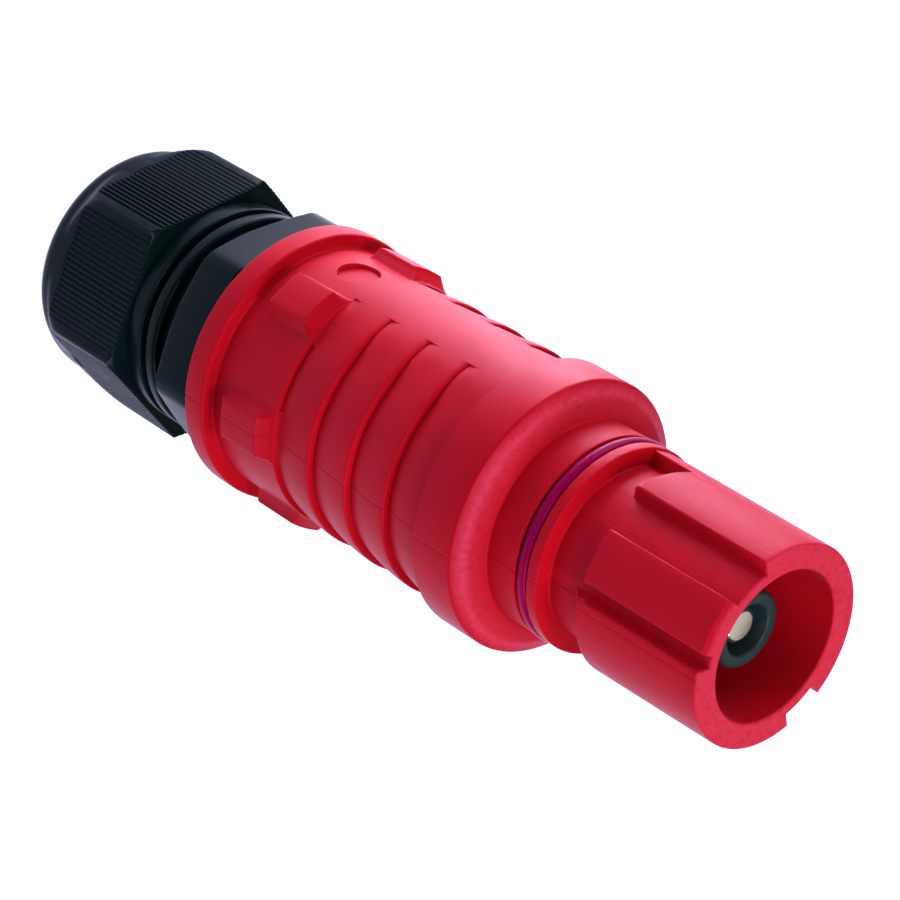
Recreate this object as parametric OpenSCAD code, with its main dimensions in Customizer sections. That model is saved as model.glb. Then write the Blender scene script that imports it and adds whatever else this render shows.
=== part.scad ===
// Single pole power connector: drain-type cable plug with bayonet spigot, guarded pin
// contact and a ribbed-nut cable gland. Millimetres, +Z along the axis towards the mouth,
// standing on the flat rear rim of the gland nut. The panel of the grip faces -Y.

/* [Shell] */
// Height of the rear face of the shell above the rear rim of the gland nut
shell_rear_z = 60.9; // [60:0.1:64]
// Length of the shell from its rear face to the front edge of the collar
shell_body_l = 84.6; // [83:0.1:90]
// Radius of the ring round the rear end of the shell
rear_ring_r = 31.6; // [30.5:0.1:33]
// Width of that ring along the axis
rear_ring_w = 6.1; // [4:0.1:8]
// Radius of the floor between the coupling lugs
lug_floor_r = 28.4; // [28:0.1:29.5]
// Number of coupling lugs round the shell
lug_count = 6; // [4:1:8]
// Radius over the lugs
lug_top_r = 31.2; // [30.5:0.1:32.5]
// Width of a lug across its top
lug_top_w = 9.6; // [7:0.1:12]
// Width of a lug at its foot
lug_foot_w = 12.1; // [9:0.1:15]
// Gap from the rear ring to the rear end of a lug
lug_gap = 5.8; // [4:0.1:8]
// Length of the top of a lug
lug_top_l = 11.5; // [8:0.1:13]
// Length of the sloping front of a lug
lug_ramp_l = 2.3; // [1:0.1:2.8]
// Diameter of the plain round recess between two lugs
recess_d = 9.6; // [6:0.1:11]
// Depth of that recess below the floor, on its centre line
recess_depth = 1.2; // [0.6:0.1:1.4]

/* [Grip] */
// Radius at the high front edge of a grip step
grip_crest_r = 28.8; // [28.6:0.1:29.5]
// Radius at the low rear edge of a grip step
grip_foot_r = 27.2; // [27:0.1:28.2]
// Pitch of the grip steps
grip_pitch = 11.97; // [11:0.01:12.5]
// Number of grip steps
grip_steps = 3; // [2:1:3]
// Half angle of the smooth panel that interrupts the steps
panel_half_angle = 16.3; // [10:0.1:25]

/* [Collar] */
// Radius of the collar
collar_r = 30.7; // [30:0.1:32]
// Length of the last swelling, from the last step line to the collar
swell_l = 11.5; // [10:0.1:13]
// Distance from the last grip step to the front edge of the collar
shoulder_l = 22.5; // [18:0.1:24]
// Length of the sloping band round the front of the collar
collar_band_l = 2.1; // [1:0.1:2.5]
// Depth of that band, measured towards the axis
collar_band_h = 4; // [2:0.1:5]
// Length of the nearly flat face between that band and the land
collar_face_l = 0.6; // [0.2:0.1:1]

/* [Spigot] */
// Radius of the land behind the sealing ring and of the lip in front of it
land_r = 22.9; // [22.7:0.1:23.4]
// Length of the land behind the sealing ring
land_l = 8; // [6:0.1:9]
// Width of the groove for the sealing ring
seal_groove_w = 3.3; // [3:0.1:4]
// Depth of the groove for the sealing ring
seal_groove_depth = 2.7; // [2:0.1:2.8]
// Thickness of the sealing ring
seal_d = 3; // [2.6:0.1:3.2]
// Width of the lip in front of the sealing ring
lip_w = 2.8; // [2:0.1:4]
// Width of the bayonet channel in front of the lip, at its floor
channel_w = 7.5; // [6:0.1:9]
// Length by which the rear faces of the pads slope from the floor to their top
channel_slope_l = 3.2; // [1:0.1:4]
// Radius of the floor of the bayonet channel
channel_floor_r = 18.95; // [18.5:0.05:19.5]
// Angle of the stop wall from the panel side, clockwise seen from the mouth
channel_stop_angle = 19; // [10:1:30]
// Length of the spigot in front of the front edge of the collar
spigot_l = 60.4; // [56:0.1:66]
// Radius of the pads of the spigot at their rear end
pad_r = 22.4; // [22.2:0.1:22.6]
// Radius of the spigot at its front face
spigot_front_r = 22.1; // [21.6:0.1:22.2]
// Width of the edge break round the front face
front_edge = 0.5; // [0.2:0.1:0.8]
// First edge of the wide entry slot, clockwise from the panel side
slot_start = -84.5; // [-88:0.5:-80]
// Angle covered by the wide entry slot
slot_angle = 67.3; // [60:0.1:75]
// First edge of the narrow entry notch, clockwise from the panel side
notch_start = 137; // [130:0.5:145]
// Angle covered by the narrow entry notch
notch_angle = 24.5; // [18:0.5:30]
// Radius of the coding pad in the wide slot
coding_r = 21.15; // [20.5:0.05:21.8]
// First edge of the coding pad, clockwise from the panel side
coding_start = -75.7; // [-78:0.1:-70]
// Angle covered by the coding pad
coding_angle = 32.1; // [20:0.1:40]
// Bevel at the front end of the coding pad
coding_bevel = 1.2; // [0.6:0.1:2]
// Diameter of the mouth
mouth_d = 32.9; // [32:0.1:34]
// Depth of the mouth
mouth_depth = 55; // [45:0.5:58]

/* [Contact] */
// Diameter of the contact pin
pin_d = 8; // [7:0.1:8.4]
// Depth of the tip of the contact pin behind the front face
pin_recess = 9.3; // [8:0.1:12]
// Free length of the contact pin in its guard
pin_free_l = 24; // [18:0.5:28]
// Bevel round the tip of the contact pin
pin_bevel = 0.8; // [0.4:0.1:1.2]
// Diameter of the conductor bore in the barrel
conductor_bore_d = 14.5; // [12:0.1:15]
// Depth of the conductor bore
conductor_bore_l = 40; // [30:0.5:42]
// Diameter of the barrel
barrel_d = 22; // [20:0.1:22.4]
// Diameter of the clamping screws in the barrel
set_screw_d = 8; // [6:0.5:8]
// Distance between the two clamping screws
set_screw_pitch = 11; // [10:0.5:12]

/* [Contact guard] */
// Outer diameter of the guard tube round the pin
guard_d = 16.8; // [16:0.1:18]
// Inner diameter of the guard tube
guard_bore_d = 11.1; // [10.6:0.1:11.8]
// Depth of the front of the guard behind the front face
guard_recess = 7.5; // [6:0.1:7.8]

/* [Cable gland] */
// Width across the flats of the gland nut
nut_af = 55; // [54:0.1:56]
// Angle of the nearest flat of the tightened gland nut from the panel side
nut_turn = -9; // [-30:1:30]
// Angle of the nearest flat of the gland body from the panel side
body_turn = -5; // [-30:1:30]
// Radius over the corners of the gland nut
nut_corner_r = 31.6; // [30.6:0.1:31.7]
// Length of the ribbed flats of the gland nut
nut_hex_l = 24.2; // [20:0.1:24.5]
// Length over which the corners of the gland nut rise from its domed part
nut_corner_l = 9.3; // [5:0.1:11]
// Radius of the rounded rear shoulder of the gland nut
nut_shoulder_r = 7.5; // [6:0.1:8]
// Radius of the domed part of the gland nut
nut_dome_r = 27.7; // [27.2:0.1:27.9]
// Number of grip ribs on each flat of the gland nut
rib_count = 21; // [15:1:21]
// Pitch of the grip ribs
rib_pitch = 1.25; // [1.1:0.01:1.3]
// Height of the grip ribs
rib_h = 0.4; // [0.2:0.05:0.5]
// Length of the round lip in front of the nut hexagon
nut_lip_l = 4.4; // [3:0.1:5]
// Radius of that lip and of the collar of the gland body
gland_collar_r = 26.4; // [26:0.1:26.8]
// Width across the flats of the gland body
body_af = 54; // [53:0.1:55]
// Radius over the corners of the gland body
body_corner_r = 30.3; // [29.5:0.1:30.6]
// Height of the hexagon of the gland body
body_hex_l = 12.2; // [11:0.1:13]
// Thickness of the seat gasket under the gland body
gasket_t = 1.4; // [1:0.1:2]
// Diameter of the cable entry through the seal bush
cable_d = 26; // [22:0.5:27]
// Diameter of the opening in the rear rim of the gland nut
rim_bore_d = 29; // [28:0.1:31]
// Number of clamping fingers on the gland body
finger_count = 12; // [8:1:16]
// Width of the slots between the clamping fingers
finger_slot = 1.6; // [1:0.1:2]

/* [Hidden] */
$fn = 32;

// Fits
clear = 0.1;        // radial clearance of parts that slot together
thread_clear = 0.15;    // radial clearance drawn between mating threads
over = 1;           // run-out of cutting bodies
small_edge = 0.5;   // edge break of moulded parts
panel_rise = 0.2;   // how far the smooth panel stands over the step edges

// Turn an angle measured clockwise from the panel side into a drawing angle
function az(phi) = -90 - phi;

// Heights along the shell
collar_z = shell_rear_z + shell_body_l;
front_z = collar_z + spigot_l;
ring_front_z = shell_rear_z + rear_ring_w;
lug_rear_z = ring_front_z + lug_gap;
lug_front_z = lug_rear_z + lug_top_l;
grip_end_z = collar_z - shoulder_l;     // front end of the last step
grip_start_z = grip_end_z - grip_steps * grip_pitch;
collar_rear_z = grip_end_z + swell_l;
land_z = collar_z + collar_band_l + collar_face_l;
groove_z = land_z + land_l;
lip_z = groove_z + seal_groove_w;
lip_front_z = lip_z + lip_w;
pad_z = lip_front_z + channel_w;
mouth_floor_z = front_z - mouth_depth;
recess_z = (lug_rear_z + lug_front_z) / 2 + 0.5;

// Bore of the shell
thread_r = 24;              // outer radius of the thread of the gland body
thread_l = 19;              // length of that thread
socket_l = 21;              // depth of the threaded socket in the shell
cavity_r = 21.4;            // inside radius of the shell round the carrier
bulkhead_t = 11;            // thickness of the wall that carries the guard
bulkhead_z = mouth_floor_z - bulkhead_t;
socket_z = shell_rear_z + socket_l;
guard_r = guard_d / 2;
snap_groove_depth = 1.3;    // depth of the groove for the retaining ring
snap_t = 2;                 // thickness of the retaining ring
carrier_l = 36;             // length of the contact carrier
snap_z = bulkhead_z - carrier_l - snap_t;

// Contact and guard
pin_r = pin_d / 2;
pin_tip_z = front_z - pin_recess;
guard_z = front_z - guard_recess;
shank_r = guard_bore_d / 2 - clear;
flange_r = 15.5;            // radius of the flanges of guard and contact
flange_t = 4;               // thickness of those flanges
pin_root_z = pin_tip_z - pin_free_l;
contact_top_z = bulkhead_z - flange_t;
contact_flange_z = contact_top_z - flange_t;
barrel_r = barrel_d / 2;
barrel_tail_l = 26;         // length of the barrel behind the retaining ring
barrel_z = snap_z - barrel_tail_l;
barrel_bevel = 1;
bore_lead = 0.8;            // bevel at the mouth of the conductor bore
screw_r = set_screw_d / 2;
screw_z = barrel_z + 6;     // height of the rear clamping screw
screw_azimuth = 90;         // clamping screws point away from the panel
hex_socket_af = 4;          // hexagon socket of the clamping screws
hex_socket_depth = 3;
locating_pin_r = 1.5;
locating_pin_l = 6;
locating_pin_at = 13.3;     // distance of the locating pin from the axis
small_seal_r = 0.9;         // half thickness of the two small seals
small_seal_in = 0.8;        // how far the small seals sit in their grooves
guard_seal_z = bulkhead_z + 5;
contact_seal_z = bulkhead_z + 9;

// Gland
nut_hex_z = 9.2;            // start of the ribbed flats above the rear rim
nut_corner_z = 5.5;         // start of the corners above the rear rim
nut_front_z = nut_hex_z + nut_hex_l;
nut_lip_z = nut_front_z + nut_lip_l;
nut_chamfer = 0.8;          // bevel of the front corners of the nut along the axis
nut_thread_r = 23.6;        // thread between gland body and nut
rim_t = 4.6;                // thickness of the rear rim of the nut
slip_t = 2;                 // thickness of the slip ring
slip_r = 17.3;              // outer radius of the slip ring
slip_clear = 0.4;           // room round the slip ring
cone_z = 13;                // height where the closing cone of the nut ends
body_top_z = shell_rear_z - gasket_t;
body_hex_z = body_top_z - body_hex_l;
body_chamfer = 1.8;         // bevel of the rear corners of the body hexagon
body_bore_r = 17.6;         // bore of the gland body
collar_gap = 4.2;           // neck between the body hexagon and its collar
collar_w = 3.8;             // width of the rounded collar of the body
collar_low_z = body_hex_z - collar_gap - collar_w;
finger_z = 9;               // tip of the clamping fingers
finger_root_z = 26;
finger_r = 19.8;            // outer radius of the clamping fingers
finger_taper_l = 4.5;       // length of the tapered tip of the fingers
finger_taper = 2;           // how much thinner the tip is
thread_lead = 1.5;          // bevel at the start of the thread of the nut
relief_l = 4;               // room in the nut behind the roots of the fingers
seal_bush_r = body_bore_r - clear;
seal_bush_l = 17;

// Sector of a ring between two angles counted clockwise from the panel side
module sector(start, sweep, z0, z1, r0, r1) {
    translate([0, 0, z0])
        rotate([0, 0, az(start + sweep)])
            rotate_extrude(angle = sweep)
                translate([r0, 0])
                    square([r1 - r0, z1 - z0]);
}

// Outline of the shell from the rear ring to the land, as radius and height
collar_round = 0.8;         // rounding of the rear edge of the collar
rear_edge_n = 3;            // number of short cones in that rounding
step_n = 3;                 // number of short cones that make a grip step
edge_n = 4;                 // number of short cones in a rounded edge
collar_edge = 0.8;          // rounding of the front edge of the collar
ring_edge = 0.6;

function step_r(t) =
    grip_foot_r + (grip_crest_r - grip_foot_r) * (1 - (1 - t) * (1 - t));
swell_share = (swell_l - collar_round) / grip_pitch;
swell_r = step_r(swell_share);
function collar_rear(t) = [
    swell_r + (collar_r - swell_r) * sin(t * 90),
    collar_rear_z - collar_round * cos(t * 90)];
function step_points(i) = [
    for (k = [0:step_n - 1]) [
        step_r(k / step_n),
        grip_start_z + (i + k / step_n) * grip_pitch],
    [grip_crest_r, grip_start_z + (i + 1) * grip_pitch - small_edge],
    [grip_crest_r - small_edge / 2, grip_start_z + (i + 1) * grip_pitch]];

module shell_outline() {
    polygon(concat(
        [[0, shell_rear_z],
         [rear_ring_r - ring_edge, shell_rear_z],
         [rear_ring_r, shell_rear_z + ring_edge],
         [rear_ring_r, ring_front_z - ring_edge],
         [rear_ring_r - ring_edge, ring_front_z],
         [lug_floor_r + ring_edge, ring_front_z],
         [lug_floor_r, ring_front_z + ring_edge],
         [lug_floor_r, grip_start_z]],
        [for (i = [0:grip_steps - 1]) each step_points(i)],
        [for (k = [0:step_n - 1]) [
            step_r(k / step_n * swell_share),
            grip_end_z + k / step_n * (swell_l - collar_round)]],
        [for (k = [0:rear_edge_n]) collar_rear(k / rear_edge_n)],
        [for (k = [0:edge_n - 1]) [
            collar_r - collar_edge + collar_edge * cos(k * 90 / edge_n),
            collar_z - collar_edge + collar_edge * sin(k * 90 / edge_n)]],
        [[collar_r - collar_band_h, collar_z + collar_band_l],
         [land_r, land_z],
         [land_r, groove_z],
         [land_r - seal_groove_depth, groove_z],
         [land_r - seal_groove_depth, lip_z],
         [land_r, lip_z],
         [land_r, lip_front_z],
         [pad_r, lip_front_z],
         [spigot_front_r, front_z - front_edge],
         [spigot_front_r - front_edge, front_z],
         [0, front_z]]));
}

// Room of one bayonet pad between two angles, with its sloping rear face
module pad_sector(start, sweep, top_r, bevel = 0) {
    slope = channel_slope_l / (pad_r - channel_floor_r);
    root_r = channel_floor_r - over;
    rotate([0, 0, az(start + sweep)])
        rotate_extrude(angle = sweep)
            polygon([
                [root_r, pad_z - over * slope],
                [top_r, pad_z + (top_r - channel_floor_r) * slope],
                [top_r, front_z - bevel],
                [top_r - bevel, front_z],
                [top_r - bevel, front_z + 2 * over],
                [root_r, front_z + 2 * over]]);
}

// Everything that is cut away between the bayonet pads, down to the channel floor
module bayonet_cuts() {
    out_r = land_r + over;
    slot_end = slot_start + slot_angle;
    notch_end = notch_start + notch_angle;
    difference() {
        rotate([0, 0, az(90)])
            rotate_extrude()
                translate([channel_floor_r, lip_front_z])
                    square([out_r - channel_floor_r, front_z + over - lip_front_z]);
        // pad between the wide slot and the narrow notch
        pad_sector(slot_end, notch_start - slot_end, out_r + over);
        // solid stretch behind that pad, whose near side is the stop of the channel
        sector(channel_stop_angle, notch_start - channel_stop_angle,
            lip_front_z - over, front_z + 2 * over, channel_floor_r - over, out_r + over);
        // pad on the other side of the two entries
        pad_sector(notch_end - 360, 360 + slot_start - notch_end, out_r + over);
        // coding pad that keeps other poles out, lower than the rest of the spigot
        pad_sector(coding_start, coding_angle, coding_r, coding_bevel);
    }
}

module coupling_lugs() {
    root_r = lug_floor_r - 1;
    draft = (lug_foot_w - lug_top_w) / (lug_top_r - lug_floor_r);
    root_w = lug_foot_w + draft;
    intersection() {
        union() {
            for (i = [0:lug_count - 1])
                rotate([0, 0, az((i + 0.5) * 360 / lug_count)])
                    translate([0, 0, lug_rear_z])
                        linear_extrude(lug_top_l + 2 * lug_ramp_l)
                            polygon([
                                [root_r, -root_w / 2],
                                [lug_top_r + over, -lug_top_w / 2 + draft / 2],
                                [lug_top_r + over, lug_top_w / 2 - draft / 2],
                                [root_r, root_w / 2]]);
        }
        rotate_extrude()
            polygon([
                [root_r - over, lug_rear_z],
                [lug_top_r - small_edge, lug_rear_z],
                [lug_top_r, lug_rear_z + small_edge],
                [lug_top_r, lug_front_z],
                [lug_floor_r, lug_front_z + lug_ramp_l],
                [root_r - over, lug_front_z + lug_ramp_l]]);
    }
}

module shell_bores() {
    mouth_bevel = 0.6;
    rotate_extrude()
        polygon([
            [0, mouth_floor_z],
            [mouth_d / 2, mouth_floor_z],
            [mouth_d / 2, front_z - mouth_bevel],
            [mouth_d / 2 + mouth_bevel, front_z],
            [mouth_d / 2 + mouth_bevel, front_z + over],
            [0, front_z + over]]);
    translate([0, 0, bulkhead_z - over])
        cylinder(r = guard_r + clear, h = bulkhead_t + 2 * over);
    rotate_extrude()
        polygon([
            [0, shell_rear_z - over],
            [thread_r + thread_clear + small_edge, shell_rear_z - over],
            [thread_r + thread_clear + small_edge, shell_rear_z],
            [thread_r + thread_clear, shell_rear_z + small_edge],
            [thread_r + thread_clear, socket_z],
            [cavity_r, socket_z],
            [cavity_r, snap_z],
            [cavity_r + snap_groove_depth, snap_z],
            [cavity_r + snap_groove_depth, snap_z + snap_t],
            [cavity_r, snap_z + snap_t],
            [cavity_r, bulkhead_z],
            [0, bulkhead_z]]);
}

module shell() {
    color([0.75, 0.05, 0.14])
    difference() {
        union() {
            rotate([0, 0, az(90)])
                rotate_extrude()
                    shell_outline();
            // smooth panel across the grip steps
            sector(-panel_half_angle, 2 * panel_half_angle,
                grip_start_z - over, collar_rear_z,
                grip_foot_r - over, grip_crest_r + panel_rise);
            coupling_lugs();
        }
        shell_bores();
        bayonet_cuts();
        // plain round recess on the panel side
        translate([0, -lug_floor_r + recess_depth, recess_z])
            rotate([90, 0, 0])
                cylinder(d = recess_d, h = 2 * over);
    }
}

module ring_seal(centre_r, half_t) {
    rotate_extrude()
        translate([centre_r, 0])
            circle(r = half_t, $fn = 12);
}

module spigot_o_ring() {
    seat_r = land_r - seal_groove_depth;
    color([0.55, 0, 0.25])
    translate([0, 0, groove_z + seal_groove_w / 2])
        ring_seal(seat_r + seal_d / 2, seal_d / 2 - clear / 2);
}

module contact() {
    color([0.78, 0.77, 0.72])
    difference() {
        rotate_extrude()
            polygon([
                [0, barrel_z],
                [barrel_r - barrel_bevel, barrel_z],
                [barrel_r, barrel_z + barrel_bevel],
                [barrel_r, contact_flange_z],
                [flange_r, contact_flange_z],
                [flange_r, contact_top_z],
                [shank_r, contact_top_z],
                [shank_r, contact_seal_z - small_seal_r],
                [shank_r - small_seal_in, contact_seal_z - small_seal_r],
                [shank_r - small_seal_in, contact_seal_z + small_seal_r],
                [shank_r, contact_seal_z + small_seal_r],
                [shank_r, pin_root_z],
                [pin_r, pin_root_z],
                [pin_r, pin_tip_z - pin_bevel],
                [pin_r - pin_bevel, pin_tip_z],
                [0, pin_tip_z]]);
        rotate_extrude()
            polygon([
                [0, barrel_z - over],
                [conductor_bore_d / 2 + bore_lead, barrel_z - over],
                [conductor_bore_d / 2 + bore_lead, barrel_z],
                [conductor_bore_d / 2, barrel_z + bore_lead],
                [conductor_bore_d / 2, barrel_z + conductor_bore_l],
                [0, barrel_z + conductor_bore_l + conductor_bore_d / 4]]);
        for (i = [0:1])
            translate([0, 0, screw_z + i * set_screw_pitch])
                rotate([0, 90, screw_azimuth])
                    cylinder(r = screw_r, h = barrel_r + over);
        translate([0, locating_pin_at, contact_flange_z - over])
            cylinder(r = locating_pin_r, h = flange_t + 2 * over, $fn = 24);
    }
}

module contact_guard() {
    tip_edge = 0.8;
    color([0.1, 0.16, 0.16])
    difference() {
        rotate_extrude()
            polygon([
                [guard_bore_d / 2, contact_top_z],
                [flange_r, contact_top_z],
                [flange_r, bulkhead_z],
                [guard_r, bulkhead_z],
                [guard_r, guard_seal_z - small_seal_r],
                [guard_r - small_seal_in, guard_seal_z - small_seal_r],
                [guard_r - small_seal_in, guard_seal_z + small_seal_r],
                [guard_r, guard_seal_z + small_seal_r],
                [guard_r, guard_z - tip_edge],
                [guard_r - tip_edge, guard_z],
                [guard_bore_d / 2 + tip_edge / 2, guard_z],
                [guard_bore_d / 2, guard_z - tip_edge / 2]]);
    }
}

module guard_seal() {
    color([0.12, 0.12, 0.12])
    translate([0, 0, guard_seal_z])
        rotate_extrude()
            translate([guard_r - small_seal_in, -small_seal_r + clear])
                square([small_seal_in + clear, 2 * small_seal_r - 2 * clear]);
}

module contact_seal() {
    color([0.12, 0.12, 0.12])
    translate([0, 0, contact_seal_z])
        rotate_extrude()
            translate([shank_r - small_seal_in, -small_seal_r + clear])
                square([small_seal_in + clear, 2 * small_seal_r - 2 * clear]);
}

module contact_carrier() {
    low_z = snap_z + snap_t;
    lead = 1.5;
    color([0.85, 0.85, 0.82])
    difference() {
        rotate_extrude()
            polygon([
                [barrel_r + clear, low_z],
                [cavity_r - clear, low_z],
                [cavity_r - clear, bulkhead_z - lead],
                [cavity_r - clear - lead, bulkhead_z],
                [flange_r + clear, bulkhead_z],
                [flange_r + clear, contact_flange_z],
                [barrel_r + clear, contact_flange_z]]);
        translate([0, locating_pin_at,
                contact_top_z - locating_pin_l - clear])
            cylinder(r = locating_pin_r, h = locating_pin_l, $fn = 24);
    }
}

module locating_pin() {
    color([0.7, 0.7, 0.72])
    translate([0, locating_pin_at, contact_top_z - locating_pin_l])
        cylinder(r = locating_pin_r - clear / 2, h = locating_pin_l - clear, $fn = 24);
}

module retaining_ring() {
    ring_w = 3.4;
    gap_angle = 24;
    outer_r = cavity_r + snap_groove_depth - clear;
    ear_r = 2.3;
    ear_hole_r = 0.9;
    ear_turn = gap_angle / 2 + 3;
    ear_at = outer_r - snap_groove_depth - ear_r - clear;
    color([0.5, 0.5, 0.52])
    translate([0, 0, snap_z + clear / 2])
    difference() {
        union() {
            rotate([0, 0, 90 + gap_angle / 2])
                rotate_extrude(angle = 360 - gap_angle)
                    translate([outer_r - ring_w, 0])
                        square([ring_w, snap_t - clear]);
            for (side = [-1, 1])
                rotate([0, 0, 90 + side * ear_turn])
                    translate([ear_at, 0, 0])
                        cylinder(r = ear_r, h = snap_t - clear, $fn = 24);
        }
        for (side = [-1, 1])
            rotate([0, 0, 90 + side * ear_turn])
                translate([ear_at - ear_hole_r, 0, -over])
                    cylinder(r = ear_hole_r, h = snap_t + 2 * over, $fn = 24);
    }
}

module set_screws() {
    tip_r = conductor_bore_d / 2 + 2 * clear;
    color([0.72, 0.72, 0.7])
    for (i = [0:1])
        translate([0, 0, screw_z + i * set_screw_pitch])
            rotate([0, 90, screw_azimuth])
                difference() {
                    translate([0, 0, tip_r])
                        cylinder(r = screw_r - clear, h = barrel_r - tip_r);
                    translate([0, 0, barrel_r - hex_socket_depth])
                        cylinder(d = hex_socket_af / cos(30), h = barrel_r, $fn = 6);
                }
}

// Hexagon with blunted corners and bevelled ends
module hex_block(af, turn, corner_r, z0, z1, low_bevel, high_bevel) {
    intersection() {
        translate([0, 0, z0])
            rotate([0, 0, 30 + az(turn)])
                cylinder(d = af / cos(30), h = z1 - z0, $fn = 6);
        rotate_extrude()
            polygon([
                [0, z0],
                [corner_r - 2 * low_bevel, z0],
                [corner_r, z0 + low_bevel],
                [corner_r, z1 - high_bevel],
                [corner_r - 2 * high_bevel, z1],
                [0, z1]]);
    }
}

module gland_body() {
    ring_round = collar_w / 2;
    color([0.06, 0.08, 0.09])
    difference() {
        union() {
            hex_block(body_af, body_turn, body_corner_r, body_hex_z, body_top_z,
                body_chamfer, small_edge);
            rotate_extrude()
                polygon(concat(
                    [[0, finger_z],
                     [finger_r - finger_taper, finger_z],
                     [finger_r, finger_z + finger_taper_l],
                     [finger_r, finger_root_z],
                     [nut_thread_r - thread_lead, finger_root_z],
                     [nut_thread_r, finger_root_z + thread_lead],
                     [nut_thread_r, collar_low_z]],
                    [for (k = [-2:2]) [
                        gland_collar_r - ring_round + ring_round * cos(k * 45),
                        collar_low_z + ring_round + ring_round * sin(k * 45)]],
                    [[thread_r, collar_low_z + collar_w],
                     [thread_r, body_top_z + thread_l],
                     [0, body_top_z + thread_l]]));
        }
        translate([0, 0, finger_z - over])
            cylinder(r = body_bore_r, h = body_top_z + thread_l);
        for (i = [0:finger_count - 1])
            rotate([0, 0, i * 360 / finger_count])
                translate([body_bore_r - over, -finger_slot / 2, finger_z - over])
                    cube([2 * finger_r, finger_slot, finger_root_z - finger_z]);
    }
}

module gland_gasket() {
    color([0.1, 0.1, 0.1])
    translate([0, 0, body_top_z])
        difference() {
            cylinder(r = body_af / 2 - over, h = gasket_t);
            translate([0, 0, -over])
                cylinder(r = thread_r + clear, h = gasket_t + 2 * over);
        }
}

module gland_seal() {
    low_z = rim_t + slip_t;
    lead = 2;
    color([0.14, 0.14, 0.14])
    translate([0, 0, low_z])
        rotate_extrude()
            polygon([
                [cable_d / 2 + lead / 2, 0],
                [seal_bush_r - lead, 0],
                [seal_bush_r, lead],
                [seal_bush_r, seal_bush_l],
                [cable_d / 2 + lead / 2, seal_bush_l],
                [cable_d / 2, seal_bush_l - lead],
                [cable_d / 2, lead]]);
}

module slip_ring() {
    color([0.55, 0.55, 0.5])
    translate([0, 0, rim_t])
        difference() {
            cylinder(r = slip_r, h = slip_t - clear);
            translate([0, 0, -over])
                cylinder(d = rim_bore_d, h = slip_t + 2 * over);
        }
}

// Outline of one flat of the nut: grooves between ribs, with a plain band at each side
function flat_points(side) = [
    for (k = [-1:2 * rib_count + 1])
        let (
            across = (k - rib_count) * rib_pitch / 2,
            out = nut_af / 2 - (k % 2 == 0 ? rib_h : 0),
            turn = az(side * 60 + nut_turn))
        [out * cos(turn) - across * sin(turn), out * sin(turn) + across * cos(turn)]];

function corner_point(side) =
    let (
        turn = az(side * 60 + nut_turn) + 30,
        out = nut_af / 2 / cos(30))
    [out * cos(turn), out * sin(turn)];

// Limit of the nut corners: a parabola up from the dome, as radius and height
corner_n = 4;               // number of short cones that make it
function nut_corner(t) = [
    nut_corner_r - (nut_corner_r - nut_dome_r) * pow(1 - t, 2),
    nut_corner_z + t * nut_corner_l];

module gland_nut() {
    shoulder_n = 7;
    color([0.06, 0.08, 0.09])
    difference() {
        union() {
            intersection() {
                union() {
                    translate([0, 0, nut_hex_z])
                        linear_extrude(nut_hex_l)
                            polygon([
                                for (side = [0:-1:-5])
                                    each concat(flat_points(side),
                                        [corner_point(side)])]);
                    translate([0, 0, nut_corner_z])
                        rotate([0, 0, 30 + az(nut_turn)])
                            cylinder(d = nut_af / cos(30),
                                h = nut_hex_z - nut_corner_z, $fn = 6);
                }
                rotate_extrude()
                    polygon(concat(
                        [[0, nut_corner_z]],
                        [for (k = [0:corner_n]) nut_corner(k / corner_n)],
                        [[nut_corner_r, nut_front_z - nut_chamfer],
                         [nut_corner_r - 2 * nut_chamfer, nut_front_z],
                         [0, nut_front_z]]));
            }
            rotate_extrude()
                polygon(concat(
                    [[0, 0]],
                    [for (k = [0:shoulder_n]) [
                        nut_dome_r - nut_shoulder_r
                            + nut_shoulder_r * sin(k * 90 / shoulder_n),
                        nut_shoulder_r - nut_shoulder_r * cos(k * 90 / shoulder_n)]],
                    [[nut_dome_r, nut_hex_z],
                     [gland_collar_r, nut_hex_z],
                     [gland_collar_r, nut_lip_z - small_edge],
                     [gland_collar_r - small_edge, nut_lip_z],
                     [0, nut_lip_z]]));
        }
        rotate_extrude()
            polygon([
                [0, -over],
                [rim_bore_d / 2 + over, -over],
                [rim_bore_d / 2 + over, 0],
                [rim_bore_d / 2, over],
                [rim_bore_d / 2, rim_t],
                [slip_r + slip_clear, rim_t],
                [slip_r + slip_clear, rim_t + slip_t],
                [finger_r + thread_clear, cone_z],
                [finger_r + thread_clear, finger_root_z - relief_l],
                [nut_thread_r + thread_clear, finger_root_z - over],
                [nut_thread_r + thread_clear, nut_lip_z + over],
                [0, nut_lip_z + over]]);
    }
}

shell();
spigot_o_ring();
contact();
contact_guard();
guard_seal();
contact_seal();
contact_carrier();
locating_pin();
retaining_ring();
set_screws();
gland_body();
gland_gasket();
gland_seal();
slip_ring();
gland_nut();
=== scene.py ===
"""Dressed scene of a single pole power connector.

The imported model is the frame. Each rigid piece that shows is wrapped again as a fine skin on
the sizes of its solid, with the small roundings and the parting line of a moulding. Pieces that
lie hidden keep their solids and get a finish. Sizes are in millimetres and angles in degrees,
counted clockwise from the smooth panel of the grip as seen from the mouth.
"""

import logging
import math
from collections.abc import Iterable, Sequence
from dataclasses import dataclass, field
from enum import Enum

import bmesh
import bpy
import numpy as np
from bpy.types import Material, Node, NodeSocket, NodeTree, Object
from mathutils import Matrix, Vector

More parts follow.
